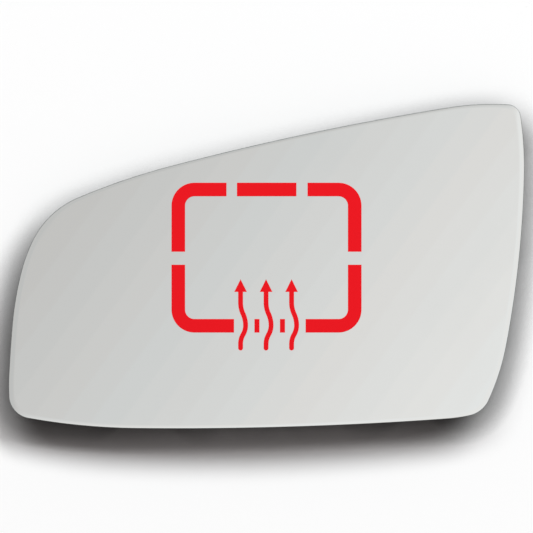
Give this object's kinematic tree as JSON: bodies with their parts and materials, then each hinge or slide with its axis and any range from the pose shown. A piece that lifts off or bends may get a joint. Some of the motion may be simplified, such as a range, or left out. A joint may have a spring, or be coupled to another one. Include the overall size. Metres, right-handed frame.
{
  "type": "heated door mirror glass",
  "caption": "Convex heated door mirror glass with a printed heating sign, foil heater and blade terminals, bonded to a moulded carrier with a snap ring.",
  "frame": {"origin": "under the middle of the glass outline, in the plane of the clip ring's end, on which the unit lies", "axes": "+X along the glass towards its taller end, +Y up the glass, +Z out of its convex face"},
  "size_m": [0.18, 0.1132, 0.016],
  "materials": {
    "mirror_glass": "chromed on its convex face, with a ground edge",
    "sign_film": "printed red film",
    "heater_foil": "etched metal foil",
    "heater_film": "clear amber film",
    "bonding_tape": "dark foam tape",
    "terminal": "tinned brass strip",
    "rivet": "nickel-plated",
    "carrier": "black moulded plastic with a fine grain"
  },
  "bodies": {
    "root": {"glass": "mirror_glass", "sign_frame": "sign_film", "sign_arrows": "sign_film", "sign_dashes": "sign_film", "heater_foil": "heater_foil", "heater_film": "heater_film", "bonding_tape": "bonding_tape", "upper_terminal": "terminal", "lower_terminal": "terminal", "upper_rivet": "rivet", "lower_rivet": "rivet", "carrier_plate": "carrier"}
  },
  "joints": []
}
